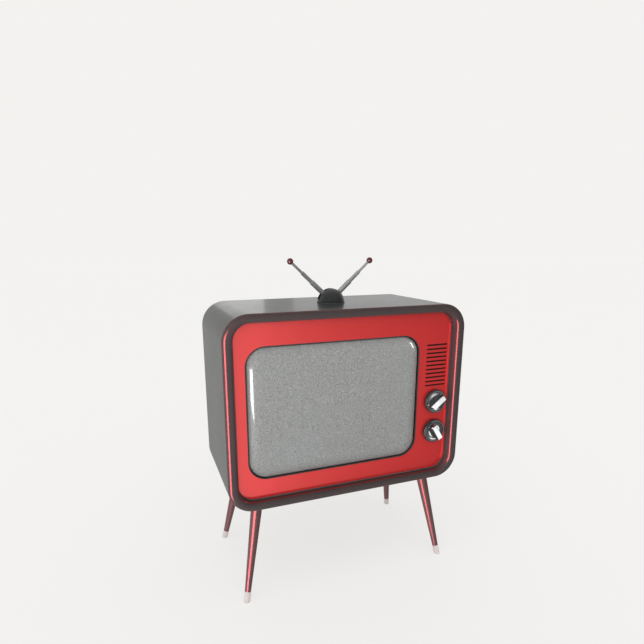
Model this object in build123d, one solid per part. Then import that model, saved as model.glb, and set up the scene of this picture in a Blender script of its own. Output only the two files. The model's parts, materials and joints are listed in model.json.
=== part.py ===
from build123d import *
from math import sin, cos, tan, radians, hypot, sqrt, pi
import os


# Tube television on four splayed legs, with a telescopic indoor antenna on its top.
#
# Frame: +X to the viewer's right, +Y towards the back, +Z up, millimetres.
# The origin is on the floor, under the middle of the whole object.
# The body is drawn with y = 0 at the front edge of the cabinet and shifted by
# Y_SHIFT as it is written, so that the origin is at the bottom centre of the box
# around everything.

# ---------------------------------------------------------------- dimensions
CAB_W, CAB_H, CAB_D, CAB_R = 600.0, 452.0, 269.0, 60.0   # cabinet outside
WALL = 12.0                                               # cabinet wall
LEG_H = 237.5                                             # floor to cabinet
ZC = LEG_H + CAB_H / 2                                    # cabinet centre height
Z_TOP = LEG_H + CAB_H

RING_FRONT = -10.0            # front of the half-round bezel ring
OPEN_W, OPEN_H, OPEN_R = 552.0, 413.0, 40.0               # opening in the ring
PANEL_Y0, PANEL_T = 12.0, 3.0                             # red front panel
PANEL_Y1 = PANEL_Y0 + PANEL_T
BAFFLE_T = 10.0
BAF_Y1 = PANEL_Y1 + BAFFLE_T

SCR_X, SCR_Z = -32.0, ZC - 3.5                            # screen centre
GLASS_W, GLASS_H, GLASS_R = 432.0, 309.0, 44.0            # picture tube face
FACE_APEX, FACE_SPHERE, FACE_EDGE_R = -9.0, 2600.0, 17.0
FACE_Y1 = 50.0
NECK_R, NECK_END = 14.5, 340.0

CTRL_X = 235.5                                            # control column
KNOB_Z = (ZC - 21.0, ZC - 100.0)                          # channel, volume
KNOB_R = 30.5
SLOT_Z0, SLOT_PITCH, SLOT_N = ZC + 21.0, 10.3, 11
SLOT_W, SLOT_H = 58.0, 4.2
SPK_Z = SLOT_Z0 + SLOT_PITCH * (SLOT_N - 1) / 2

LEG_TOP_X, LEG_TOP_Y = 224.7, (41.7, 231.7)
LEG_FOOT_X, LEG_FOOT_Y = 267.3, (2.7, 286.9)
LEG_R_TOP, LEG_R_FOOT, FERRULE_R = 14.0, 6.7, 7.8

ANT_Y = CAB_D / 2
DOME_R, DOME_CZ = 34.0, 1.0
PIV_X, PIV_Z = 9.0, 12.5                                  # arm pivots, above the top
BALL_X, BALL_Z, BALL_R = 104.7, 100.7, 7.7
ARM_LEN = hypot(BALL_X - PIV_X, BALL_Z - PIV_Z)
ARM_DIR = ((BALL_X - PIV_X) / ARM_LEN, (BALL_Z - PIV_Z) / ARM_LEN)

KNOB_TIP = -12.0
CUP_Y1 = 372.0
Y_SHIFT = -(KNOB_TIP + CUP_Y1) / 2                        # = -180

parts = {}


# ---------------------------------------------------------------- helpers
def box(x0, x1, y0, y1, z0, z1):
    return Pos((x0 + x1) / 2, (y0 + y1) / 2, (z0 + z1) / 2) * Box(x1 - x0, y1 - y0, z1 - z0)


def front_plane(x, y, z):
    return Plane(origin=(x, y, z), x_dir=(1, 0, 0), z_dir=(0, -1, 0))


def rr(w, h, r, y0, y1, x=0.0, z=ZC):
    """Rounded rectangle in X-Z, solid from y0 to y1."""
    return extrude(front_plane(x, y0, z) * RectangleRounded(w, h, r), amount=-(y1 - y0))


def ycyl(x, z, r, y0, y1):
    return extrude(front_plane(x, y0, z) * Circle(r), amount=-(y1 - y0))


def zcyl(x, y, r, z0, z1):
    return Pos(x, y, (z0 + z1) / 2) * Cylinder(r, z1 - z0)


def cone_on(origin, direction, r0, r1, s0, s1):
    pl = Plane(origin=origin, z_dir=direction)
    if abs(r0 - r1) < 1e-9:
        return pl * (Pos(0, 0, (s0 + s1) / 2) * Cylinder(r0, s1 - s0))
    return pl * (Pos(0, 0, (s0 + s1) / 2) * Cone(r0, r1, s1 - s0))


def yrev(x, z, pts):
    """Solid of revolution about a Y axis through (x, z); pts are (y, radius)."""
    pl = Plane(origin=(x, 0, z), x_dir=(0, 1, 0), z_dir=(0, 0, 1))
    # local x is +Y and local y is -X, so radii go to -X
    sk = pl * make_face(Polyline(*[(a, b) for a, b in pts], close=True))
    return revolve(sk, Axis((x, 0, z), (0, 1, 0)), 360)


def group(items):
    return Compound(children=list(items)) if len(items) > 1 else items[0]


def solids(shape):
    return list(shape.solids())


# ---------------------------------------------------------------- cabinet
shell = rr(CAB_W, CAB_H, CAB_R, 0, CAB_D) - rr(CAB_W - 2 * WALL, CAB_H - 2 * WALL, CAB_R - WALL, -1, CAB_D + 1)
Z_IN0, Z_IN1, X_IN = LEG_H + WALL, Z_TOP - WALL, CAB_W / 2 - WALL
COVER_Y0, COVER_T = 260.0, 4.0
CLEAT = 18.0
screw_xz = []
for sx in (-1, 1):
    shell += box(sx * 150 - 15, sx * 150 + 15, COVER_Y0 - 24, COVER_Y0, Z_IN1 - CLEAT, Z_IN1 + 1)
    shell += box(sx * 158 - 15, sx * 158 + 15, COVER_Y0 - 4.2, COVER_Y0, Z_IN0 - 1, Z_IN0 + CLEAT)
    screw_xz += [(sx * 150, Z_IN1 - CLEAT / 2, 20), (sx * 158, Z_IN0 + CLEAT / 2, 3.6)]
    for sz in (-1, 1):
        z = ZC + sz * 120
        a, b = sorted((sx * (X_IN - CLEAT), sx * (X_IN + 1)))
        shell += box(a, b, COVER_Y0 - 24, COVER_Y0, z - 15, z + 15)
        screw_xz.append((sx * (X_IN - CLEAT / 2), z, 20))
for x, z, deep in screw_xz:
    shell -= ycyl(x, z, 2.05, COVER_Y0 - deep, COVER_Y0 + 1)

# front bezel ring: half-round bead outside, spigot that fits in the cabinet
ring = rr(CAB_W, CAB_H, CAB_R, RING_FRONT, 0) - rr(OPEN_W, OPEN_H, OPEN_R, RING_FRONT - 1, 1)
front_edges = [e for e in ring.edges() if e.bounding_box().max.Y < RING_FRONT + 0.01]
ring = fillet(front_edges, 9.4)
ring += rr(CAB_W - 2 * WALL - 0.4, CAB_H - 2 * WALL - 0.4, CAB_R - WALL - 0.2, 0, PANEL_Y0) - rr(OPEN_W, OPEN_H, OPEN_R, -1, PANEL_Y0 + 1)
parts["bezel_ring"] = ring

# front panel with the screen opening, sound slots and spindle holes
P_W, P_H, P_R = CAB_W - 2 * WALL - 2, CAB_H - 2 * WALL - 2, CAB_R - WALL - 1
panel = rr(P_W, P_H, P_R, PANEL_Y0, PANEL_Y1)
panel -= rr(GLASS_W + 3.4, GLASS_H + 3.4, GLASS_R + 1.7, PANEL_Y0 - 1, PANEL_Y1 + 1, SCR_X, SCR_Z)
slot_face = Sketch() + [Pos(0, SLOT_PITCH * (i - (SLOT_N - 1) / 2)) * RectangleRounded(SLOT_W, SLOT_H, 0.8) for i in range(SLOT_N)]
panel -= extrude(front_plane(CTRL_X, PANEL_Y0 - 1, SPK_Z) * slot_face, amount=-(PANEL_T + 2))
for z in KNOB_Z:
    panel -= ycyl(CTRL_X, z, 5.2, PANEL_Y0 - 1, PANEL_Y1 + 1)
parts["front_panel"] = panel

# plywood baffle that carries the tube, speaker and controls
baffle = rr(P_W, P_H, P_R, PANEL_Y1, BAF_Y1)
baffle -= rr(GLASS_W + 24, GLASS_H + 24, GLASS_R + 12, PANEL_Y1 - 1, BAF_Y1 + 1, SCR_X, SCR_Z)
baffle -= extrude(front_plane(CTRL_X, PANEL_Y1 - 1, SPK_Z) * Ellipse(32, 56), amount=-(BAFFLE_T + 2))
baffle -= rr(72, 122, 4, PANEL_Y1 - 1, PANEL_Y1 + 1, CTRL_X, SPK_Z)
for z in KNOB_Z:
    baffle -= ycyl(CTRL_X, z, 5.2, PANEL_Y1 - 1, BAF_Y1 + 1)

grille = rr(71, 121, 4, PANEL_Y1, PANEL_Y1 + 0.8, CTRL_X, SPK_Z)
parts["grille_cloth"] = grille

gasket = rr(GLASS_W + 2.8, GLASS_H + 2.8, GLASS_R + 1.4, PANEL_Y0 + 0.4, PANEL_Y1, SCR_X, SCR_Z)
gasket += rr(GLASS_W + 22, GLASS_H + 22, GLASS_R + 11, PANEL_Y1, PANEL_Y1 + 3, SCR_X, SCR_Z)
gasket -= rr(GLASS_W + 0.6, GLASS_H + 0.6, GLASS_R + 0.3, -20, 40, SCR_X, SCR_Z)
parts["screen_gasket"] = gasket

# ---------------------------------------------------------------- picture tube
face = rr(GLASS_W, GLASS_H, GLASS_R, -40, FACE_Y1, SCR_X, SCR_Z) & (Pos(SCR_X, FACE_APEX + FACE_SPHERE, SCR_Z) * Sphere(FACE_SPHERE))
front_edges = [e for e in face.edges() if e.bounding_box().max.Y < 20]
face = fillet(front_edges, FACE_EDGE_R)
cavity = rr(GLASS_W - 18, GLASS_H - 18, GLASS_R - 9, -20, FACE_Y1 + 1, SCR_X, SCR_Z) & (Pos(SCR_X, FACE_APEX + FACE_SPHERE, SCR_Z) * Sphere(FACE_SPHERE - 11))
face -= cavity
parts["crt_faceplate"] = face


def funnel_body(d, y0, y1):
    """Tapered bulb from the faceplate to the neck; d is taken off each side."""
    secs = [(FACE_Y1, GLASS_W, GLASS_H, GLASS_R), (110.0, 352.0, 256.0, 60.0), (170.0, 190.0, 150.0, 55.0), (215.0, 60.0, 58.0, 28.5), (228.0, 28.9, 28.8, 14.35)]
    faces = []
    for i, (y, w, h, r) in enumerate(secs):
        dd = d if i < 4 else min(d, 1.6)
        faces.append(front_plane(SCR_X, y, SCR_Z) * RectangleRounded(w - 2 * dd, h - 2 * dd, max(r - dd, 1)))
    return loft(faces, ruled=True)


funnel = funnel_body(0, 0, 0) + ycyl(SCR_X, SCR_Z, NECK_R, 227.9, NECK_END)
funnel -= funnel_body(5.0, 0, 0) + ycyl(SCR_X, SCR_Z, NECK_R - 1.7, 227.8, NECK_END - 4)
parts["crt_funnel"] = funnel

band = rr(GLASS_W + 6, GLASS_H + 6, GLASS_R + 3, BAF_Y1, 45, SCR_X, SCR_Z)
lug_xz = []
for sx in (-1, 1):
    for sz in (-1, 1):
        cx, cz = SCR_X + sx * (GLASS_W / 2 - GLASS_R), SCR_Z + sz * (GLASS_H / 2 - GLASS_R)
        ux, uz = sx * sin(radians(45)), sz * cos(radians(45))
        pl = Plane(origin=(cx, BAF_Y1, cz), x_dir=(ux, 0, uz), z_dir=(0, 1, 0))
        lug = extrude(pl * (Pos(45, 0) * RectangleRounded(50, 22, 6)), amount=2.0)
        band += lug
        lug_xz.append((cx + ux * 61, cz + uz * 61))
band -= rr(GLASS_W + 0.4, GLASS_H + 0.4, GLASS_R + 0.2, 0, 60, SCR_X, SCR_Z)
for x, z in lug_xz:
    band -= ycyl(x, z, 2.6, BAF_Y1 - 1, BAF_Y1 + 5)
    baffle -= ycyl(x, z, 2.05, BAF_Y1 - 8, BAF_Y1 + 1)
parts["crt_band"] = band

# rubber anode cap on the left side of the bulb
A_Y = 88.0
a_k = (A_Y - FACE_Y1) / (110.0 - FACE_Y1)
A_X = SCR_X - (GLASS_W / 2 + a_k * (352.0 - GLASS_W) / 2)
a_n = Vector(-(110.0 - FACE_Y1), (GLASS_W - 352.0) / 2, 0).normalized()
cap_a = Plane(origin=Vector(A_X, A_Y, SCR_Z) - a_n * 3, z_dir=a_n) * (Pos(0, 0, 3.5) * Cylinder(19, 7))
cap_a += Plane(origin=Vector(A_X, A_Y, SCR_Z) - a_n * 3, z_dir=a_n) * (Pos(0, 0, 8) * Cone(12, 7, 8))
parts["anode_cap"] = cap_a - funnel_body(0, 0, 0)

gun = ycyl(SCR_X, SCR_Z, 10.5, 252, 255) + ycyl(SCR_X, SCR_Z, 7.0, 255, 272) + ycyl(SCR_X, SCR_Z, 10.0, 272, 290)
gun += ycyl(SCR_X, SCR_Z, 7.5, 290, 296) + ycyl(SCR_X, SCR_Z, 9.5, 296, 312) + ycyl(SCR_X, SCR_Z, 5.0, 312, NECK_END - 4)
parts["crt_electron_gun"] = gun

sock = ycyl(SCR_X, SCR_Z, 23, NECK_END, NECK_END + 6) + ycyl(SCR_X, SCR_Z, 17, NECK_END + 6, NECK_END + 17)
for k in range(8):
    a = radians(45 * k)
    sock -= ycyl(SCR_X + 8 * cos(a), SCR_Z + 8 * sin(a), 1.0, NECK_END - 1, NECK_END + 8)
parts["crt_socket"] = sock

coils = yrev(SCR_X, SCR_Z, [(203, 50), (214, 35), (219, 31.5), (230, 17.0), (262, 17.0), (262, 26), (247, 37), (222, 45), (205, 61)])
parts["yoke_coils"] = coils
core = ycyl(SCR_X, SCR_Z, 55, 223, 247) - ycyl(SCR_X, SCR_Z, 46.5, 222, 248)
core += ycyl(SCR_X, SCR_Z, 27, 262, 272) - ycyl(SCR_X, SCR_Z, NECK_R + 0.4, 261, 273)
parts["yoke_core"] = core

# ---------------------------------------------------------------- chassis
CH_X0, CH_X1, CH_Y0, CH_Y1, CH_Z0, CH_Z = -236.0, 170.0, 105.0, 255.0, Z_IN0, 287.0
PRE_X, PRE_Z = (-120.0, -80.0), 272.0
tray = box(CH_X0, CH_X1, CH_Y0, CH_Y1, CH_Z0, CH_Z) - box(CH_X0 + 1.5, CH_X1 - 1.5, CH_Y0 + 1.5, CH_Y1 - 1.5, CH_Z0 - 1, CH_Z - 1.5)
for x in PRE_X:
    tray -= ycyl(x, PRE_Z, 4.7, CH_Y1 - 3, CH_Y1 + 1)

SIG = [(-100, 228), (-60, 228), (-20, 228), (20, 228), (60, 228)]
PWR = [(-158, 186, 14.0, 74.0), (-158, 226, 11.0, 64.0)]


def valve(x, y, r, h, z0):
    v = zcyl(x, y, r, z0, z0 + h - r * 0.6)
    top = [e for e in v.edges() if e.bounding_box().min.Z > z0 + 5]
    v = fillet(top, r * 0.55)
    return v + zcyl(x, y, 2.2, z0 + h - r * 0.6 - 0.5, z0 + h)


parts["valves"] = group([valve(x, y, 10.5, 52, CH_Z + 7) for x, y in SIG]
                        + [valve(x, y, r, h, CH_Z + 7) for x, y, r, h in PWR])
parts["valve_sockets"] = group([zcyl(x, y, 12, CH_Z, CH_Z + 7) for x, y in SIG] + [zcyl(x, y, r + 1.5, CH_Z, CH_Z + 7) for x, y, r, h in PWR])
parts["if_cans"] = group([box(x - 10, x + 10, 172, 192, CH_Z, CH_Z + 42) for x in (-80, -40, 0, 40)])

tr_x0, tr_x1, tr_y0, tr_y1 = 98.0, 158.0, 196.0, 236.0
core_t = box(tr_x0, tr_x1, tr_y0, tr_y1, CH_Z, CH_Z + 54)
for a in (tr_x0 + 10, tr_x1 - 24):
    core_t -= box(a, a + 14, tr_y0 - 1, tr_y1 + 1, CH_Z + 10, CH_Z + 44)
parts["mains_transformer_core"] = core_t
coil_t = rr(47.6, 33.6, 5, tr_y0 - 10, tr_y1 + 10, (tr_x0 + tr_x1) / 2, CH_Z + 27)
coil_t -= box((tr_x0 + tr_x1) / 2 - 6.05, (tr_x0 + tr_x1) / 2 + 6.05, tr_y0 - 0.05, tr_y1 + 0.05, CH_Z + 9, CH_Z + 45)
coil_t -= box(tr_x0 - 1, tr_x0 + 10.2, tr_y0 - 0.05, tr_y1 + 0.05, CH_Z, CH_Z + 60)
coil_t -= box(tr_x1 - 10.2, tr_x1 + 1, tr_y0 - 0.05, tr_y1 + 0.05, CH_Z, CH_Z + 60)
parts["mains_transformer_coil"] = coil_t

fx0, fx1, fy0, fy1, fz0 = -228.0, -184.0, 198.0, 214.0, CH_Z
fcore = box(fx0, fx1, fy0, fy1, fz0, fz0 + 62) - box(fx0 + 10, fx1 - 10, fy0 - 1, fy1 + 1, fz0 + 10, fz0 + 52)
fcoil = zcyl(fx1 - 5, (fy0 + fy1) / 2, 19.0, fz0 + 14, fz0 + 48) - box(fx1 - 10.1, fx1 + 0.1, fy0 - 0.1, fy1 + 0.1, fz0, fz0 + 70)
parts["flyback_transformer"] = fcore
parts["flyback_coil"] = fcoil

cage = box(-234, -138, 160, 252, CH_Z, CH_Z + 90) - box(-232.8, -139.2, 161.2, 250.8, CH_Z - 1, CH_Z + 88.8)
vent = Sketch() + [Pos(8 * i, 8 * j) * Circle(2.4) for i in range(-4, 5) for j in range(-3, 4)]
cage -= extrude(front_plane(-186, 255, CH_Z + 45) * vent, amount=10)
cage -= extrude(Plane(origin=(-186, 206, CH_Z + 80), z_dir=(0, 0, 1)) * vent, amount=20)
cage -= ycyl(-150, CH_Z + 70, 4.5, 155, 165)
parts["eht_cage"] = cage

parts["smoothing_capacitors"] = group([fillet([e for e in zcyl(x, 148, 14.5, CH_Z, CH_Z + 66).edges() if e.bounding_box().min.Z > CH_Z + 5], 2.0) for x in (108, 143)])

# ---------------------------------------------------------------- tuner
TZ = KNOB_Z[0]
T_Y0, T_Y1 = BAF_Y1, 140.0
tbox = box(200, 271, T_Y0, T_Y1, TZ - 32, TZ + 27.5) - box(201.2, 269.8, T_Y0 + 1.2, T_Y1 - 1.2, TZ - 30.8, TZ + 26.3)
tbox -= ycyl(CTRL_X, TZ, 3.05, T_Y0 - 1, T_Y1 + 1)
parts["tuner_box"] = tbox
turret = ycyl(CTRL_X, TZ, 22, 36, 38.5) + ycyl(CTRL_X, TZ, 22, 82, 84.5) + ycyl(CTRL_X, TZ, 22, 127, 129.5)
turret += ycyl(CTRL_X, TZ, 7, 36, 129.5)
for k in range(12):
    a = 30 * k
    strip = Pos(19.5, 0, 0) * Box(5, 8.4, 93.4)
    turret += Plane(origin=(CTRL_X, 82.7, TZ), x_dir=(1, 0, 0), z_dir=(0, 1, 0)) * (Rot(0, 0, a) * strip)
turret += ycyl(CTRL_X, TZ, 3.0, -5, T_Y1 + 1)
parts["tuner_turret"] = turret

VZ = KNOB_Z[1]
vol = ycyl(CTRL_X, VZ, 14, BAF_Y1, 44) + ycyl(CTRL_X, VZ, 4.9, PANEL_Y0, BAF_Y1)
vol += box(CTRL_X - 9, CTRL_X + 9, BAF_Y1 + 3, BAF_Y1 + 6, VZ - 22, VZ - 10)
vol -= ycyl(CTRL_X, VZ, 3.05, PANEL_Y0 - 1, 41)
parts["volume_control"] = vol
parts["volume_spindle"] = ycyl(CTRL_X, VZ, 3.0, -5, 40.5)


def knob(z, angle):
    skirt = ycyl(CTRL_X, z, KNOB_R, 2.0, 9.5)
    skirt = fillet([e for e in skirt.edges() if e.bounding_box().max.Y < 2.01], 2.6)
    skirt = fillet([e for e in skirt.edges() if e.bounding_box().min.Y > 9.4], 0.8)
    skirt -= ycyl(CTRL_X, z, 25.2, 0, 5.5)
    skirt -= ycyl(CTRL_X, z, 3.0, 0, 12)
    cap = yrev(CTRL_X, z, [(5.5, 0), (5.5, 25.0), (3.6, 25.0), (2.4, 23.0), (3.6, 16.0), (3.6, 0)])
    pl = Plane(origin=(CTRL_X, 3.8, z), x_dir=(cos(radians(angle)), 0, sin(radians(angle))), z_dir=(0, -1, 0))
    grip = extrude(pl * RectangleRounded(43, 15, 2.5), amount=3.8 - KNOB_TIP)
    grip = chamfer([e for e in grip.edges() if e.bounding_box().max.Y < KNOB_TIP + 0.01], 1.6)
    cap += grip
    cap -= ycyl(CTRL_X, z, 3.0, -5, 12)
    return skirt, cap


parts["channel_knob_skirt"], parts["channel_knob_cap"] = knob(KNOB_Z[0], 38)
parts["volume_knob_skirt"], parts["volume_knob_cap"] = knob(KNOB_Z[1], -58)

# ---------------------------------------------------------------- speaker
fl = rr(76, 126, 10, BAF_Y1, BAF_Y1 + 2, CTRL_X, SPK_Z) - extrude(front_plane(CTRL_X, BAF_Y1 - 1, SPK_Z) * Ellipse(32, 56), amount=-4)


def ecl(a0, b0, y0, a1, b1, y1):
    return loft([front_plane(CTRL_X, y0, SPK_Z) * Ellipse(a0, b0), front_plane(CTRL_X, y1, SPK_Z) * Ellipse(a1, b1)], ruled=True)


# four flat struts carry the rear ring
for sgn in (-1, 1):
    tall = [(BAF_Y1 + 1, 57), (BAF_Y1 + 1, 62), (52, 24), (52, 19.5)]
    wide = [(BAF_Y1 + 1, 33), (BAF_Y1 + 1, 37.5), (52, 21.5), (52, 17.5)]
    pv = Plane(origin=(CTRL_X - 6, 0, SPK_Z), x_dir=(0, 1, 0), z_dir=(1, 0, 0))
    fl += extrude(pv * make_face(Polyline(*[(a, sgn * b) for a, b in tall], close=True)), amount=12)
    ph = Plane(origin=(CTRL_X, 0, SPK_Z + 6), x_dir=(0, 1, 0), z_dir=(0, 0, -1))
    fl += extrude(ph * make_face(Polyline(*[(a, sgn * b) for a, b in wide], close=True)), amount=12)
fl += ycyl(CTRL_X, SPK_Z, 22, 51, 53.5)
fl -= ycyl(CTRL_X, SPK_Z, 11.5, 50, 55)
parts["speaker_frame"] = fl
cone_s = ecl(31.6, 55.6, BAF_Y1 + 0.4, 10.4, 10.6, 46) - ecl(30.8, 54.8, BAF_Y1 + 0.3, 9.6, 9.8, 46.1)
cone_s += ycyl(CTRL_X, SPK_Z, 10.2, 45.8, 56) - ycyl(CTRL_X, SPK_Z, 9.6, 45, 57)
cone_s += Pos(CTRL_X, 46, SPK_Z) * Sphere(10.3) & box(CTRL_X - 12, CTRL_X + 12, 35, 46, SPK_Z - 12, SPK_Z + 12)
parts["speaker_cone"] = cone_s
mag = ycyl(CTRL_X, SPK_Z, 24, 53.5, 70) - (ycyl(CTRL_X, SPK_Z, 11.2, 53, 64) - ycyl(CTRL_X, SPK_Z, 8.8, 53, 64))
parts["speaker_magnet"] = mag

# ---------------------------------------------------------------- back
CUP = dict(w0=210.0, h0=190.0, r0=60.0, w1=124.0, h1=114.0, r1=45.0)
MI_X, MI_Z = -200.0, 272.0
AE_X, AE_Z = 170.0, 600.0
cover = rr(CAB_W - 2 * WALL - 1, CAB_H - 2 * WALL - 1, CAB_R - WALL - 0.5, COVER_Y0, COVER_Y0 + COVER_T)
cover -= rr(CUP["w0"] - 8, CUP["h0"] - 8, CUP["r0"] - 4, COVER_Y0 - 1, COVER_Y0 + 9, SCR_X, SCR_Z)
vents = Sketch()
for i in range(21):
    x = -200 + 20 * i
    vents += Pos(x, 178) * SlotOverall(34, 5, rotation=90)
    if x < -110 or x > 40:
        vents += Pos(x, -60) * SlotOverall(44, 5, rotation=90)
    if -176 < x < 190:
        vents += Pos(x, -130) * SlotOverall(34, 5, rotation=90)
cover -= extrude(front_plane(0, COVER_Y0 - 1, ZC) * vents, amount=-(COVER_T + 2))
for x, z, deep in screw_xz:
    cover -= ycyl(x, z, 2.3, COVER_Y0 - 1, COVER_Y0 + COVER_T + 1)
for x in PRE_X:
    cover -= ycyl(x, PRE_Z, 6.5, COVER_Y0 - 1, COVER_Y0 + COVER_T + 1)
cover -= rr(34, 20, 3, COVER_Y0 - 1, COVER_Y0 + COVER_T + 1, MI_X, MI_Z)
parts["back_cover"] = cover


def cup_body(d, y0, y1):
    return loft([front_plane(SCR_X, y0, SCR_Z) * RectangleRounded(CUP["w0"] - 2 * d, CUP["h0"] - 2 * d, CUP["r0"] - d),
                 front_plane(SCR_X, y1, SCR_Z) * RectangleRounded(CUP["w1"] - 2 * d, CUP["h1"] - 2 * d, CUP["r1"] - d)], ruled=True)


C_Y0 = COVER_Y0 + COVER_T
cup = cup_body(0, C_Y0, CUP_Y1)
cup = fillet([e for e in cup.edges() if e.bounding_box().min.Y > CUP_Y1 - 0.01], 8.0)
cup += rr(CUP["w0"] + 26, CUP["h0"] + 26, CUP["r0"] + 13, C_Y0, C_Y0 + 3, SCR_X, SCR_Z)
cup -= cup_body(3.2, C_Y0 - 0.01, CUP_Y1 - 5.0)
cupv = Sketch() + [Pos(14 * i, 0) * SlotOverall(62, 5, rotation=90) for i in range(-3, 4)]
cup -= extrude(front_plane(SCR_X, CUP_Y1 + 2, SCR_Z) * cupv, amount=12)
cup_screws = [(SCR_X + sx * (CUP["w0"] / 2 + 6.5), SCR_Z + sz * 45) for sx in (-1, 1) for sz in (-1, 1)]
for x, z in cup_screws:
    cup -= ycyl(x, z, 2.1, C_Y0 - 1, C_Y0 + 4)
    parts["back_cover"] -= ycyl(x, z, 1.6, COVER_Y0 - 1, C_Y0 + 1)
parts["neck_cup"] = cup


def screw(x, z, y_seat, head_r, head_h, shank_r, length):
    s = ycyl(x, z, head_r, y_seat, y_seat + head_h)
    s = fillet([e for e in s.edges() if e.bounding_box().min.Y > y_seat + head_h - 0.01], head_h * 0.45)
    s += ycyl(x, z, shank_r, y_seat - length, y_seat)
    return s - box(x - head_r - 1, x + head_r + 1, y_seat + head_h * 0.55, y_seat + head_h + 1, z - 0.5, z + 0.5)


parts["back_screws"] = group([screw(x, z, C_Y0, 4.8, 2.8, 2.0, COVER_T + deep - 1) for x, z, deep in screw_xz]
                             + [screw(x, z, C_Y0 + 3, 3.8, 2.2, 1.5, 6.5) for x, z in cup_screws])
parts["internal_screws"] = group([screw(x, z, BAF_Y1 + 2, 4.8, 2.8, 2.0, 9.0) for x, z in lug_xz])

inlet = rr(32, 18, 3, CH_Y1, COVER_Y0 + 1.5, MI_X, MI_Z)
for dx in (-6.0, 6.0):
    inlet += ycyl(MI_X + dx, MI_Z, 1.6, COVER_Y0 + 1, COVER_Y0 + 14)
parts["mains_inlet"] = inlet

aer = rr(52, 18, 3, C_Y0, C_Y0 + 4, AE_X, AE_Z)
for dx in (-14.0, 14.0):
    post = ycyl(AE_X + dx, AE_Z, 5.0, C_Y0 + 4, C_Y0 + 8)
    post -= box(AE_X + dx - 6, AE_X + dx + 6, C_Y0 + 6.8, C_Y0 + 9, AE_Z - 0.6, AE_Z + 0.6)
    aer += post
parts["aerial_terminals"] = aer

pots = []
for x in PRE_X:
    p = ycyl(x, PRE_Z, 10, CH_Y1 - 13.5, CH_Y1 - 1.5) + ycyl(x, PRE_Z, 4.6, CH_Y1 - 1.5, CH_Y1 + 3)
    pots.append(p - ycyl(x, PRE_Z, 3.05, CH_Y1 - 11, CH_Y1 + 4))
parts["preset_pots"] = group(pots)


def preset(x):
    s = ycyl(x, PRE_Z, 3.0, CH_Y1 - 10.5, 268)
    k = ycyl(x, PRE_Z, 6.0, 266.5, 279)
    k = fillet([e for e in k.edges() if e.bounding_box().min.Y > 278.9], 1.0)
    for i in range(16):
        a = radians(22.5 * i)
        k -= ycyl(x + 6.3 * cos(a), PRE_Z + 6.3 * sin(a), 0.7, 266, 280)
    k -= box(x - 7, x + 7, 277.8, 280, PRE_Z - 0.6, PRE_Z + 0.6)
    return s + k


parts["brightness_spindle"] = preset(PRE_X[0])
parts["contrast_spindle"] = preset(PRE_X[1])

# ---------------------------------------------------------------- legs
names = {(-1, 0): "leg_front_left", (1, 0): "leg_front_right", (-1, 1): "leg_rear_left", (1, 1): "leg_rear_right"}
PLATE_T = 4.0
ferrules, plates = [], []
for (sx, k), name in names.items():
    F = Vector(sx * LEG_FOOT_X, LEG_FOOT_Y[k], 0)
    T = Vector(sx * LEG_TOP_X, LEG_TOP_Y[k], LEG_H)
    d = T - F
    L = d.length
    u = d.normalized()
    slope = (LEG_R_TOP - LEG_R_FOOT) / L
    leg = cone_on(F, u, LEG_R_FOOT + slope * 18, LEG_R_FOOT + slope * (L + 14), 18, L + 14)
    leg &= box(-400, 400, -100, 400, 0, LEG_H - PLATE_T)
    stud = cone_on(F, u, 4.0, 4.0, L - 12, L + 9)
    leg += stud
    fer = cone_on(F, u, FERRULE_R, FERRULE_R, -8, 25) & box(-400, 400, -100, 400, 0, 60)
    fer -= cone_on(F, u, LEG_R_FOOT + slope * 18, LEG_R_FOOT + slope * 40, 18, 40)
    ferrules.append(fer)
    P0 = T - u * (PLATE_T / u.Z)
    plate = Pos((P0.X + T.X) / 2, (P0.Y + T.Y) / 2, LEG_H - PLATE_T / 2) * extrude(RectangleRounded(52, 52, 8), amount=PLATE_T / 2, both=True)
    plates.append(plate - cone_on(F, u, 4.1, 4.1, L - 20, L + 20))
    shell -= cone_on(F, u, 4.3, 4.3, L - 6, L + 9.5)
    parts[name] = leg
parts["leg_ferrules"] = group(ferrules)
parts["leg_plates"] = group(plates)

# ---------------------------------------------------------------- antenna
base = zcyl(0, ANT_Y, DOME_R, Z_TOP, Z_TOP + 3.6)
base += zcyl(0, ANT_Y, 31.1, Z_TOP + 3.5, Z_TOP + 6.0) - zcyl(0, ANT_Y, 28.8, Z_TOP + 3.6, Z_TOP + 8)
parts["antenna_base"] = base

above = box(-60, 60, ANT_Y - 60, ANT_Y + 60, Z_TOP + 4.0, Z_TOP + 60)
dome = (Pos(0, ANT_Y, Z_TOP + DOME_CZ) * Sphere(DOME_R) & above) - (Pos(0, ANT_Y, Z_TOP + DOME_CZ) * Sphere(DOME_R - 2.4) & above)
inner = Pos(0, ANT_Y, Z_TOP + DOME_CZ) * Sphere(DOME_R - 1.0) & box(-60, 60, ANT_Y - 60, ANT_Y + 60, Z_TOP + 8.0, Z_TOP + 60)
for sy in (-1, 1):
    a, b = sorted((ANT_Y + sy * 6.4, ANT_Y + sy * 9.4))
    dome += inner & box(-40, 40, a, b, Z_TOP + 8.0, Z_TOP + 60)
slot_pts = [(2.2, 18.0), (5.2, 60.0), (70.0, 60.0), (70.0, 14.5), (20.0, 6.2), (15.0, 4.2)]
for sx in (-1, 1):
    pl = Plane(origin=(0, ANT_Y + 6.35, Z_TOP), x_dir=(1, 0, 0), z_dir=(0, -1, 0))
    poly = pl * make_face(Polyline(*[(sx * a, b) for a, b in slot_pts], close=True))
    dome -= extrude(poly, amount=12.7) - box(-60, 60, ANT_Y - 20, ANT_Y + 20, Z_TOP - 5, Z_TOP + 4.0)
    dome -= ycyl(sx * PIV_X, Z_TOP + PIV_Z, 2.56, ANT_Y - 20, ANT_Y + 20)
parts["antenna_dome"] = dome

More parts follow.
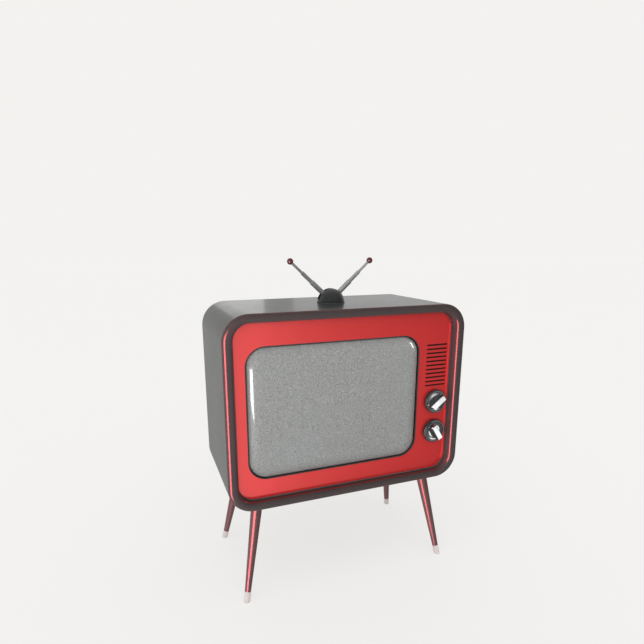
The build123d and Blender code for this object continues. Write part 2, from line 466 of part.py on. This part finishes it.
T1, T2, T3 = (6.0, 56.0), (8.5, 90.0), (11.0, ARM_LEN - 2.0)
piv = (PIV_X, ANT_Y, Z_TOP + PIV_Z)
dr = (ARM_DIR[0], 0, ARM_DIR[1])
t1 = cone_on(piv, dr, 6.2, 6.2, 0, T1[1]) - cone_on(piv, dr, 4.85, 4.85, T2[0] - 0.5, T1[1] + 1)
root = ycyl(piv[0], piv[2], 6.2, ANT_Y - 6.2, ANT_Y + 6.2) - cone_on(piv, dr, 4.85, 4.85, T2[0] - 0.5, T1[1] + 1)
pin = ycyl(piv[0], piv[2], 2.5, ANT_Y - 9.2, ANT_Y + 9.2) - cone_on(piv, dr, 4.85, 4.85, T2[0] - 0.5, T1[1] + 1)
t1 = t1 + root + pin
t2 = cone_on(piv, dr, 4.8, 4.8, T2[0], T2[1]) - cone_on(piv, dr, 3.25, 3.25, T3[0] - 0.5, T2[1] + 1)
t3 = cone_on(piv, dr, 3.2, 3.2, T3[0], T3[1])
ball = Pos(piv[0] + dr[0] * ARM_LEN, ANT_Y, piv[2] + dr[2] * ARM_LEN) * Sphere(BALL_R) - cone_on(piv, dr, 3.2, 3.2, T3[0], T3[1])
for label, shape in (("arm_tube", t1), ("middle_tube", t2), ("inner_rod", t3), ("tip_ball", ball)):
    parts["right_" + label] = shape
    parts["left_" + label] = mirror(shape, about=Plane.YZ)

parts["cabinet_shell"] = shell
parts["front_baffle"] = baffle
parts["chassis_tray"] = tray

# ---------------------------------------------------------------- write
if __name__ == "__main__":
    os.makedirs("parts", exist_ok=True)
    for old in os.listdir("parts"):
        if old.endswith(".step") and old[:-5] not in parts:
            os.remove(os.path.join("parts", old))
    for name, shape in parts.items():
        found = list(shape.solids())
        moved = [Pos(0, Y_SHIFT, 0) * s for s in found]
        export_step(moved[0] if len(moved) == 1 else Compound(children=moved), os.path.join("parts", name + ".step"))
        if len(found) > 1:
            print(name, "solids", len(found))
    print(len(parts), "nodes")
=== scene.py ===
import bpy, bmesh, json, math
from mathutils import Vector, Matrix

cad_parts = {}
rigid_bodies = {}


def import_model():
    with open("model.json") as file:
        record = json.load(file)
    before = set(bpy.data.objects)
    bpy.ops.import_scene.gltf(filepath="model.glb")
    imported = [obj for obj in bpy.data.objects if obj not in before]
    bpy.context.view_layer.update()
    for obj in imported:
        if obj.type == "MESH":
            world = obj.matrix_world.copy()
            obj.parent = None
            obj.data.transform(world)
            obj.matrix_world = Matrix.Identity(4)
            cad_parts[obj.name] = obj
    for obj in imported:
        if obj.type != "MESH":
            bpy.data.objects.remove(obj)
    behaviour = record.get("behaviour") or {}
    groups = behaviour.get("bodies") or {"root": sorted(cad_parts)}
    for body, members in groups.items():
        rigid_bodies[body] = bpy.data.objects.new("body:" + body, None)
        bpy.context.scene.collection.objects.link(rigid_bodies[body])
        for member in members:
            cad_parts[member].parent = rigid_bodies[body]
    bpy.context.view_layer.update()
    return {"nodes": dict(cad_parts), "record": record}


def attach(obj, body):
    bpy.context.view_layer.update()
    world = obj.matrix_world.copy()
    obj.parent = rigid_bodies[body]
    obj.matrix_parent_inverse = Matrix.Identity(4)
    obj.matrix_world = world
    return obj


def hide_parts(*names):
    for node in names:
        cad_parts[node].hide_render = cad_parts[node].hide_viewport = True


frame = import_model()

scene = bpy.context.scene
nodes = frame["nodes"]

# ------------------------------------------------------------------ camera
# fitted viewpoint, in cabinet units of 0.6 m about the front plane's centre
W = 0.6
AZ, EL, ROLL, DIST, TX, TZ, F_PX = -0.3569, 0.2408, -0.0027, 1.7933, -0.1643, 0.1736, 482.897
CX_PX, CY_PX = 312.669, 365.148
front = Vector((0.0, -0.180, 0.4635))
back = Vector((math.sin(AZ) * math.cos(EL), -math.cos(AZ) * math.cos(EL), math.sin(EL)))
right = Vector((0, 0, 1)).cross(back).normalized()
up = back.cross(right)
c, s = math.cos(ROLL), math.sin(ROLL)
r2, u2 = c * right + s * up, -s * right + c * up
pos = front + (Vector((TX, 0, TZ)) + back * DIST) * W
cam_data = bpy.data.cameras.new("camera")
cam = bpy.data.objects.new("camera", cam_data)
scene.collection.objects.link(cam)
cam.matrix_world = Matrix(((r2.x, u2.x, back.x, pos.x), (r2.y, u2.y, back.y, pos.y), (r2.z, u2.z, back.z, pos.z), (0, 0, 0, 1)))
cam_data.sensor_width = 36.0
cam_data.lens = F_PX / 644 * 36.0
cam_data.shift_x = -(CX_PX - 322) / 644
cam_data.shift_y = (CY_PX - 322) / 644
cam_data.clip_start, cam_data.clip_end = 0.01, 200
scene.camera = cam


# ------------------------------------------------------------------ node helpers
class Mat:
    """A material under construction: object coordinates in metres, one Principled shader."""

    def __init__(self, name):
        self.m = bpy.data.materials.new(name)
        self.m.use_nodes = True
        self.t = self.m.node_tree
        self.t.nodes.clear()
        self.out = self.new("ShaderNodeOutputMaterial")
        self.b = self.new("ShaderNodeBsdfPrincipled")
        self.link(self.b.outputs[0], self.out.inputs["Surface"])
        self.co = self.new("ShaderNodeTexCoord").outputs["Object"]

    def new(self, kind, **kw):
        n = self.t.nodes.new(kind)
        for k, v in kw.items():
            setattr(n, k, v)
        return n

    def link(self, a, b):
        self.t.links.new(a, b)

    def set(self, **kw):
        for k, v in kw.items():
            self.b.inputs[k.replace("_", " ")].default_value = v
        return self

    def scaled(self, x, y, z):
        n = self.new("ShaderNodeMapping")
        n.inputs["Scale"].default_value = (x, y, z)
        self.link(self.co, n.inputs["Vector"])
        return n.outputs[0]

    def noise(self, scale, detail=3.0, rough=0.55, vec=None, dist=0.0):
        n = self.new("ShaderNodeTexNoise")
        n.inputs["Scale"].default_value = scale
        n.inputs["Detail"].default_value = detail
        n.inputs["Roughness"].default_value = rough
        n.inputs["Distortion"].default_value = dist
        self.link(vec or self.co, n.inputs["Vector"])
        return n.outputs["Fac"]

    def ramp(self, fac, a, b, lo=0.35, hi=0.65):
        n = self.new("ShaderNodeMapRange")
        n.inputs["From Min"].default_value, n.inputs["From Max"].default_value = lo, hi
        n.inputs["To Min"].default_value, n.inputs["To Max"].default_value = a, b
        self.link(fac, n.inputs["Value"])
        return n.outputs[0]

    def mix(self, fac, a, b):
        n = self.new("ShaderNodeMix", data_type="RGBA")
        if isinstance(fac, float):
            n.inputs[0].default_value = fac
        else:
            self.link(fac, n.inputs[0])
        for sock, v in ((n.inputs[6], a), (n.inputs[7], b)):
            if isinstance(v, tuple):
                sock.default_value = (*v, 1)
            else:
                self.link(v, sock)
        return n.outputs[2]

    def math(self, op, a, b=0.0):
        n = self.new("ShaderNodeMath", operation=op)
        for i, v in enumerate((a, b)):
            if isinstance(v, (int, float)):
                n.inputs[i].default_value = v
            else:
                self.link(v, n.inputs[i])
        return n.outputs[0]

    def bump(self, height, strength, dist):
        n = self.new("ShaderNodeBump")
        n.inputs["Strength"].default_value = strength
        n.inputs["Distance"].default_value = dist
        self.link(height, n.inputs["Height"])
        if self.b.inputs["Normal"].is_linked:
            self.link(self.b.inputs["Normal"].links[0].from_socket, n.inputs["Normal"])
        self.link(n.outputs[0], self.b.inputs["Normal"])
        return n.outputs[0]

    def color(self, sock):
        self.link(sock, self.b.inputs["Base Color"])

    def rough(self, sock):
        self.link(sock, self.b.inputs["Roughness"])


MATS = {}


def lacquer(name, base, var, rough=(0.22, 0.36), metallic=0.0, coat=0.6, coat_rough=0.08, peel=0.00004, flakes=None, dust_amount=0.05, wave=0.04, ior=1.5, tint=(1, 1, 1)):
    """Sprayed lacquer: slow colour drift, orange peel, fine dust and patchy gloss."""
    m = Mat(name)
    drift = m.noise(3.0, 3)
    col = m.mix(m.ramp(drift, 0, 1), base, var)
    if flakes:
        fl = m.noise(2600.0, 1, 0.3)
        col = m.mix(m.ramp(fl, 0.0, 0.65, 0.5, 0.72), col, flakes)
    dust = m.noise(900.0, 2)
    col = m.mix(m.ramp(dust, 0, dust_amount, 0.58, 0.7), col, (0.32, 0.31, 0.3))
    m.color(col)
    m.rough(m.ramp(m.noise(11.0, 5, 0.65), *rough))
    m.bump(m.noise(420.0, 2), 0.2, peel)
    m.bump(m.noise(60.0, 1), wave, peel * 2)
    m.set(Metallic=metallic, Coat_Weight=coat, Coat_Roughness=coat_rough, IOR=ior, Specular_Tint=(*tint, 1))
    MATS[name] = m.m
    return m


def metal(name, base, var, rough=(0.12, 0.24), scratch=None, bump=0.000015, stretch=(1, 1, 1), metallic=1.0):
    m = Mat(name)
    fine = m.noise(700.0, 3, 0.6, m.scaled(*stretch))
    col = m.mix(m.ramp(m.noise(25.0, 4), 0, 1), base, var)
    if scratch:
        col = m.mix(m.ramp(fine, 0, 0.35, 0.6, 0.75), col, scratch)
    m.color(col)
    m.rough(m.math("ADD", m.ramp(m.noise(40.0, 5, 0.7), *rough), m.ramp(fine, -0.03, 0.05)))
    m.bump(fine, 0.3, bump)
    m.set(Metallic=metallic)
    MATS[name] = m.m
    return m


def plastic(name, base, var, rough=(0.3, 0.45), grain=500.0, depth=0.00006, coat=0.0):
    m = Mat(name)
    col = m.mix(m.ramp(m.noise(9.0, 4), 0, 1), base, var)
    col = m.mix(m.ramp(m.noise(1100.0, 2), 0, 0.15, 0.6, 0.72), col, (0.3, 0.29, 0.27))
    m.color(col)
    m.rough(m.ramp(m.noise(22.0, 5, 0.7), *rough))
    m.bump(m.noise(grain, 3, 0.6), 0.4, depth)
    m.set(Coat_Weight=coat, Coat_Roughness=0.1)
    MATS[name] = m.m
    return m


# ------------------------------------------------------------------ finishes
lacquer("cabinet_lacquer", (0.028, 0.028, 0.0275), (0.034, 0.034, 0.033), rough=(0.26, 0.30), coat=0.5, coat_rough=0.14, peel=0.000008, dust_amount=0.03, wave=0.0)
lacquer("bezel_metallic", (0.020, 0.024, 0.024), (0.027, 0.029, 0.029), rough=(0.21, 0.25), coat=0.10, coat_rough=0.10, peel=0.000006, flakes=(0.042, 0.028, 0.029), dust_amount=0.02, wave=0.0, ior=2.2, tint=(1.0, 0.12, 0.14))
lacquer("leg_metallic", (0.040, 0.034, 0.034), (0.050, 0.038, 0.038), rough=(0.27, 0.31), coat=0.10, coat_rough=0.10, peel=0.000006, flakes=(0.075, 0.030, 0.031), dust_amount=0.02, wave=0.0, ior=2.4, tint=(1.0, 0.14, 0.16))
lacquer("panel_red", (0.60, 0.032, 0.032), (0.57, 0.030, 0.030), rough=(0.15, 0.18), metallic=0.45, coat=0.30, coat_rough=0.04, peel=0.000003, flakes=(0.62, 0.045, 0.045), dust_amount=0.015, wave=0.0)
plastic("black_rubber", (0.062, 0.058, 0.057), (0.078, 0.072, 0.070), rough=(0.35, 0.5), grain=900)
plastic("knob_black", (0.012, 0.014, 0.013), (0.02, 0.021, 0.02), rough=(0.12, 0.22), coat=0.8, depth=0.00001)
plastic("antenna_black", (0.016, 0.017, 0.018), (0.026, 0.027, 0.028), rough=(0.12, 0.22), coat=0.8, depth=0.00001)
plastic("brown_bakelite", (0.05, 0.022, 0.012), (0.09, 0.04, 0.02), rough=(0.25, 0.4), grain=300)
plastic("preset_plastic", (0.03, 0.03, 0.03), (0.045, 0.045, 0.045), rough=(0.35, 0.5))
plastic("cup_plastic", (0.022, 0.02, 0.019), (0.035, 0.032, 0.03), rough=(0.4, 0.58), grain=420, depth=0.00012)
metal("knob_chrome", (0.75, 0.75, 0.76), (0.62, 0.63, 0.64), rough=(0.10, 0.2), scratch=(0.9, 0.9, 0.9))
metal("ferrule_metal", (0.80, 0.72, 0.71), (0.70, 0.64, 0.63), rough=(0.36, 0.46), scratch=(0.50, 0.48, 0.47), stretch=(1, 1, 0.08), metallic=0.35)
metal("antenna_chrome", (0.62, 0.62, 0.62), (0.52, 0.52, 0.53), rough=(0.26, 0.36), scratch=(0.8, 0.8, 0.8), metallic=0.8)
metal("zinc_steel", (0.52, 0.51, 0.47), (0.40, 0.40, 0.38), rough=(0.32, 0.5), scratch=(0.7, 0.7, 0.66))
metal("gun_metal", (0.6, 0.6, 0.58), (0.5, 0.5, 0.5))
metal("pot_metal", (0.45, 0.42, 0.35), (0.36, 0.34, 0.3), rough=(0.3, 0.45))
metal("shaft_steel", (0.6, 0.6, 0.6), (0.5, 0.5, 0.5), rough=(0.2, 0.35))
metal("can_aluminium", (0.72, 0.72, 0.72), (0.6, 0.6, 0.6), rough=(0.28, 0.42))
metal("copper_winding", (0.55, 0.2, 0.07), (0.4, 0.13, 0.045), rough=(0.28, 0.4), stretch=(1, 12, 1))
plastic("ferrite", (0.03, 0.03, 0.033), (0.05, 0.05, 0.052), rough=(0.5, 0.68), grain=800)
plastic("cone_paper", (0.05, 0.045, 0.04), (0.075, 0.066, 0.055), rough=(0.8, 0.92), grain=700, depth=0.0002)
plastic("bulb_glass", (0.02, 0.022, 0.024), (0.032, 0.034, 0.036), rough=(0.35, 0.6), grain=200)
lacquer("tip_red", (0.050, 0.012, 0.013), (0.065, 0.014, 0.015), rough=(0.1, 0.18), coat=1.0, coat_rough=0.03, peel=0.00001)

# static behind the picture tube's glass
m = Mat("screen_glass")
grain = m.noise(500.0, 2, 0.8)
fine = m.noise(1000.0, 1, 0.9)
both = m.math("ADD", m.math("MULTIPLY", grain, 0.6), m.math("MULTIPLY", fine, 0.4))
col = m.mix(m.ramp(both, 0, 1, 0.40, 0.60), (0.100, 0.102, 0.099), (0.328, 0.333, 0.326))
m.color(m.mix(m.ramp(m.noise(5.0, 2), 0, 0.15), col, (0.26, 0.285, 0.295)))
m.rough(m.ramp(m.noise(14.0, 4), 0.30, 0.42))
m.bump(m.noise(9.0, 1), 0.05, 0.0001)
m.set(Coat_Weight=1.0, Coat_Roughness=0.03, Coat_IOR=1.52)
MATS["screen_glass"] = m.m

# clear envelopes of the valves
m = Mat("valve_glass")
m.color(m.mix(m.ramp(m.noise(60.0, 3), 0, 1), (0.75, 0.78, 0.78), (0.55, 0.57, 0.58)))
m.rough(m.ramp(m.noise(90.0, 3), 0.03, 0.12))
m.set(Transmission_Weight=0.8, IOR=1.5)
MATS["valve_glass"] = m.m

# plywood
m = Mat("baffle_ply")
g = m.noise(60.0, 4, 0.6, m.scaled(0.15, 1, 2.2), 0.8)
m.color(m.mix(m.ramp(g, 0, 1), (0.26, 0.15, 0.075), (0.42, 0.28, 0.16)))
m.rough(m.ramp(g, 0.65, 0.82))
m.bump(g, 0.4, 0.0002)
MATS["baffle_ply"] = m.m

# pressed fibreboard back, with its fine mesh imprint
m = Mat("back_board")
fib = m.noise(260.0, 5, 0.7, m.scaled(1, 1, 0.5), 0.6)
chk = m.new("ShaderNodeTexVoronoi")
chk.inputs["Scale"].default_value = 420.0
m.link(m.co, chk.inputs["Vector"])
col = m.mix(m.ramp(fib, 0, 1), (0.105, 0.062, 0.036), (0.185, 0.118, 0.07))
m.color(m.mix(m.ramp(m.noise(6.0, 4), 0, 0.5), col, (0.09, 0.055, 0.034)))
m.rough(m.ramp(fib, 0.62, 0.85))
m.bump(chk.outputs["Distance"], 0.35, 0.00025)
m.bump(fib, 0.4, 0.00015)
MATS["back_board"] = m.m

# woven grille cloth
m = Mat("grille_cloth")
wx = m.new("ShaderNodeTexWave", wave_type="BANDS", bands_direction="X")
wz = m.new("ShaderNodeTexWave", wave_type="BANDS", bands_direction="Z")
for w in (wx, wz):
    w.inputs["Scale"].default_value = 260.0
    w.inputs["Distortion"].default_value = 0.4
    m.link(m.co, w.inputs["Vector"])
weave = m.math("MULTIPLY", wx.outputs["Fac"], wz.outputs["Fac"])
m.color(m.mix(weave, (0.008, 0.008, 0.008), (0.035, 0.032, 0.03)))
m.rough(m.ramp(weave, 0.8, 0.95, 0, 1))
m.bump(weave, 0.8, 0.0003)
MATS["grille_cloth"] = m.m

# ------------------------------------------------------------------ CAD nodes
slot_of = {p["node"]: p["material_slot"] for p in frame["record"]["subparts"]}
for name, o in nodes.items():
    o.data.materials.clear()
    o.data.materials.append(MATS[slot_of[name]])
    o.data.shade_smooth()
    o.data.set_sharp_from_angle(angle=math.radians(28))

# ------------------------------------------------------------------ added pieces
ZC = 0.4635
YS = -0.180


def add(name, bm, mat, body="set", smooth=35):
    me = bpy.data.meshes.new(name)
    bmesh.ops.recalc_face_normals(bm, faces=bm.faces)
    bm.to_mesh(me)
    bm.free()
    o = bpy.data.objects.new(name, me)
    scene.collection.objects.link(o)
    me.materials.append(MATS[mat])
    me.shade_smooth()
    me.set_sharp_from_angle(angle=math.radians(smooth))
    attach(o, body)
    return o


def rr_path(w, h, r, cx=0.0, cz=ZC, n=20):
    """Corner-rounded rectangle as (x, z, outward x, outward z)."""
    out = []
    for sx, sz, a0 in ((1, 1, 0), (-1, 1, 90), (-1, -1, 180), (1, -1, 270)):
        for i in range(n + 1):
            a = math.radians(a0 + 90 * i / n)
            out.append((cx + sx * (w / 2 - r) + r * math.cos(a), cz + sz * (h / 2 - r) + r * math.sin(a), math.cos(a), math.sin(a)))
    return out


def frame_sweep(w, h, r, section, cx=0.0, cz=ZC):
    """Closed strip around a rounded rectangle; section is (outward, y) points, in metres."""
    bm = bmesh.new()
    rings = [[bm.verts.new((x + nx * a, y, z + nz * a)) for a, y in section] for x, z, nx, nz in rr_path(w, h, r, cx, cz)]
    k = len(section)
    for i in range(len(rings)):
        p, q = rings[i], rings[(i + 1) % len(rings)]
        for j in range(k):
            bm.faces.new((p[j], p[(j + 1) % k], q[(j + 1) % k], q[j]))
    return bm


def circle_section(r, a0, y0, n=12):
    return [(a0 + r * math.cos(2 * math.pi * i / n), y0 + r * math.sin(2 * math.pi * i / n)) for i in range(n)]


# thin black strip in the corner between the bezel and the panel: painted shade, a dark line put where the bezel's
# shadow falls on the panel
add("panel_seal", frame_sweep(0.552, 0.413, 0.040, circle_section(0.0014, -0.0013, YS + 0.0108)), "black_rubber")


def pillow_face():
    """The tube's face: nested rounded rectangles on a shallow sphere, with a broad soft edge, closed at the back."""
    cx, cz, w, h, r = -0.032, ZC - 0.0035, 0.4318, 0.3088, 0.0439
    soft, sphere = 0.036, 2.6
    bm = bmesh.new()

    def loop(d, level):
        out = []
        for x, z, _, _ in rr_path(w - 2 * d, h - 2 * d, max(r - d, 0.0006), cx, cz, 24):
            y = YS - 0.0088 + ((x - cx) ** 2 + (z - cz) ** 2) / (2 * sphere) if level is None else level
            if level is None and d < soft:
                y += soft * 0.62 * (1 - math.sqrt(1 - (1 - d / soft) ** 2))
            out.append(bm.verts.new((x, y, z)))
        return out

    steps = [0.0002 * i * i + 0.00002 for i in range(14)]
    steps = [d for d in steps if d < soft] + [soft + (0.152 - soft) * i / 22 for i in range(23)]
    loops = [loop(0.0, YS + 0.0495), loop(0.0, YS + 0.034)] + [loop(d, None) for d in steps]
    for p, q in zip(loops, loops[1:]):
        for i in range(len(p)):
            bm.faces.new((p[i], p[(i + 1) % len(p)], q[(i + 1) % len(p)], q[i]))
    bm.faces.new(loops[0])
    bm.faces.new(loops[-1])
    return bm


tube_face = add("tube_face_glass", pillow_face(), "screen_glass", smooth=60)
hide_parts("crt_faceplate")


def ring(centre, axis, R, r, n=64, k=16, flat=1.0):
    bm = bmesh.new()
    q = Vector(axis).normalized().to_track_quat("Z", "Y").to_matrix()
    rings = []
    for i in range(n):
        a = 2 * math.pi * i / n
        rings.append([bm.verts.new(Vector(centre) + q @ Vector(((R + r * math.cos(b)) * math.cos(a), (R + r * math.cos(b)) * math.sin(a), r * flat * math.sin(b)))) for b in (2 * math.pi * j / k for j in range(k))])
    for i in range(n):
        p, t = rings[i], rings[(i + 1) % n]
        for j in range(k):
            bm.faces.new((p[j], p[(j + 1) % k], t[(j + 1) % k], t[j]))
    return bm


# rolled lips at the ends of the telescopic tubes
AY, ZT, PX, PZ = 0.1345 + YS, 0.6895, 0.009, 0.0125
BX, BZ = 0.1047, 0.1007
AL = math.hypot(BX - PX, BZ - PZ)
for side, sx in (("left", -1), ("right", 1)):
    d = Vector((sx * (BX - PX) / AL, 0, (BZ - PZ) / AL))
    p0 = Vector((sx * PX, AY, ZT + PZ))
    add(side + "_arm_lip", ring(p0 + d * 0.0552, d, 0.0058, 0.0007), "antenna_chrome", side + "_arm")
    add(side + "_middle_lip", ring(p0 + d * 0.0893, d, 0.0043, 0.0006), "antenna_chrome", side + "_arm_middle")

# felt ring under the antenna base
add("antenna_felt_edge", ring((0, AY, ZT + 0.0006), (0, 0, 1), 0.0341, 0.0006), "black_rubber")

# ------------------------------------------------------------------ stage
def plane(name, sx, sy, loc, rot=(0, 0, 0)):
    bm = bmesh.new()
    bmesh.ops.create_grid(bm, x_segments=2, y_segments=2, size=0.5)
    me = bpy.data.meshes.new(name)
    bm.to_mesh(me)
    bm.free()
    o = bpy.data.objects.new(name, me)
    o.scale = (sx, sy, 1)
    o.location, o.rotation_euler = loc, rot
    scene.collection.objects.link(o)
    return o


floor = plane("floor", 60, 60, (0, 0, 0))
fm = Mat("floor_paper")
fm.color(fm.mix(fm.ramp(fm.noise(1.2, 3), 0, 1), (0.215, 0.214, 0.212), (0.225, 0.224, 0.222)))
fm.rough(fm.ramp(fm.noise(60.0, 3), 0.85, 0.95))
fm.b.inputs["Specular IOR Level"].default_value = 0.1
fm.b.inputs["Emission Color"].default_value = (1.0, 0.992, 0.975, 1)
fm.b.inputs["Emission Strength"].default_value = 0.652
floor.data.materials.append(fm.m)

world = bpy.data.worlds.new("studio")
scene.world = world
world.use_nodes = True
wt = world.node_tree
wt.nodes.clear()


def wnode(kind, **kw):
    n = wt.nodes.new(kind)
    for k, v in kw.items():
        setattr(n, k, v)
    return n


# pale all round for the camera, soft fill for matt surfaces, a darker room in reflections
wo, lp = wnode("ShaderNodeOutputWorld"), wnode("ShaderNodeLightPath")
bg_cam, bg_fill, bg_room = (wnode("ShaderNodeBackground") for _ in range(3))
bg_cam.inputs[0].default_value = (0.896, 0.888, 0.872, 1)
bg_fill.inputs[0].default_value = (1.0, 0.995, 0.985, 1)
bg_fill.inputs[1].default_value = 0.84
geo, sep, ramp = wnode("ShaderNodeTexCoord"), wnode("ShaderNodeSeparateXYZ"), wnode("ShaderNodeValToRGB")
wt.links.new(geo.outputs["Generated"], sep.inputs[0])
half = wnode("ShaderNodeMath", operation="MULTIPLY_ADD")
half.inputs[1].default_value = half.inputs[2].default_value = 0.5
wt.links.new(sep.outputs["Y"], half.inputs[0])
wt.links.new(half.outputs[0], ramp.inputs[0])
e = ramp.color_ramp.elements
e[0].position, e[0].color = 0.0, (0.06, 0.06, 0.06, 1)
e[1].position, e[1].color = 1.0, (0.42, 0.42, 0.415, 1)
for at, v in ((0.30, 0.07), (0.50, 0.16), (0.66, 0.34)):
    k = e.new(at)
    k.color = (v, v, v, 1)
wt.links.new(ramp.outputs[0], bg_room.inputs[0])
m1, m2 = wnode("ShaderNodeMixShader"), wnode("ShaderNodeMixShader")
wt.links.new(lp.outputs["Is Glossy Ray"], m1.inputs[0])
wt.links.new(bg_fill.outputs[0], m1.inputs[1])
wt.links.new(bg_room.outputs[0], m1.inputs[2])
wt.links.new(lp.outputs["Is Camera Ray"], m2.inputs[0])
wt.links.new(m1.outputs[0], m2.inputs[1])
wt.links.new(bg_cam.outputs[0], m2.inputs[2])
wt.links.new(m2.outputs[0], wo.inputs[0])
floor.visible_glossy = False
floor.visible_shadow = False


def area(name, loc, target, sx, sy, power, glossy=True, only=None):
    d = bpy.data.lights.new(name, "AREA")
    d.shape, d.size, d.size_y, d.energy = "RECTANGLE", sx, sy, power
    o = bpy.data.objects.new(name, d)
    o.location = loc
    o.rotation_euler = (Vector(target) - Vector(loc)).to_track_quat("-Z", "Y").to_euler()
    o.visible_glossy = glossy
    o.visible_camera = False
    scene.collection.objects.link(o)
    if only:
        c = bpy.data.collections.new(name + "_lit")
        for x in only:
            c.objects.link(x)
        o.light_linking.receiver_collection = c
    return o


sun_data = bpy.data.lights.new("sun", "SUN")
sun_data.energy, sun_data.angle = 1.15, math.radians(75)
sun = bpy.data.objects.new("sun", sun_data)
sun.rotation_euler = (math.radians(34), math.radians(-24), 0)
sun.visible_glossy = False
scene.collection.objects.link(sun)
glass = [tube_face]
rest = [o for o in list(nodes.values()) + [x for x in bpy.data.objects if x.type == "MESH" and x.parent] if o not in glass and o is not floor]
rest = list({o.name: o for o in rest}.values())
named = {o.name: o for o in rest}
painted = [o for o in rest if o.name == "bezel_ring" or o.name.startswith("leg_") and o.name != "leg_ferrules" or o.name.endswith("_ball")]
bright = [o for o in rest if o.name.startswith(("channel_knob", "volume_knob")) or "_tube" in o.name or "_rod" in o.name or "_lip" in o.name or o.name == "leg_ferrules"]
# tall softbox to the front left; its lower part is a reflector card that only shows in the gloss
area("strip_wide", (-1.56, -1.73, -0.35), (0.0, -0.18, -0.35), 1.35, 2.6, 95, only=painted)
area("strip_core", (-1.56, -1.73, -0.35), (0.0, -0.18, -0.35), 0.40, 2.6, 34, only=painted + [o for o in bright if o.name != "leg_ferrules"])
# upright slats side by side in front of the panel, fading to the right
for k in range(12):
    x0 = -0.45 + 0.142 * k
    level = 1.15 * min(1.0, math.exp(-(x0 + 0.071 + 0.05) / 0.45))
    area("panel_slat_%02d" % k, (x0 + 0.071, -1.30, 0.03), (x0 + 0.071, -0.1, 0.03), 0.142, 1.2, 4 * level * 0.142 * 1.2, only=[named["front_panel"]])
# card behind, mirrored in the flat top
area("top_card", (-0.02, 1.60, 0.92), (-0.25, -0.15, 0.69), 0.55, 0.5, 0.42, only=[named["cabinet_shell"]])
area("top_card_right", (1.15, 1.45, 0.84), (0.1, -0.05, 0.69), 1.5, 0.4, 0.5, only=[named["cabinet_shell"]])
# window-like shape mirrored near the glass's left edge: full width above, drawn to a point below
for k in range(9):
    h0, h1 = (-0.09, 0.12) if k == 0 else (-0.09 - 0.037 * k, -0.09 - 0.037 * (k - 1))
    wide = 27.0 if k == 0 else 27.0 * (1 - ((k - 0.4) / 8.2) ** 1.4)
    az = math.radians(45.0 + wide / 2)
    sx, sy = 2 * 2.2 * math.tan(math.radians(wide / 2)), h1 - h0
    at = (-0.24 - 2.2 * math.sin(az), -0.18 - 2.2 * math.cos(az), (h0 + h1) / 2)
    area("screen_window_%d" % k, at, (-0.24, -0.18, (h0 + h1) / 2), sx, sy, 52.0 * sx * sy, only=glass)
area("spot_right", (2.06, -0.50, 1.14), (0.16, -0.18, 0.6), 0.7, 0.7, 16, only=glass)
area("soft_left", (-2.2, -2.0, 1.3), (0, -0.15, 0.5), 1.6, 1.6, 30, glossy=False, only=rest + glass)
area("card_right", (1.19, -1.54, -0.05), (0.23, -0.19, 0.4), 0.42, 0.9, 1.6, only=bright)
area("card_top", (-0.5, -1.2, 1.9), (0.23, -0.19, 0.4), 0.5, 0.4, 1.2, only=bright)

scene.view_settings.view_transform = "Standard"
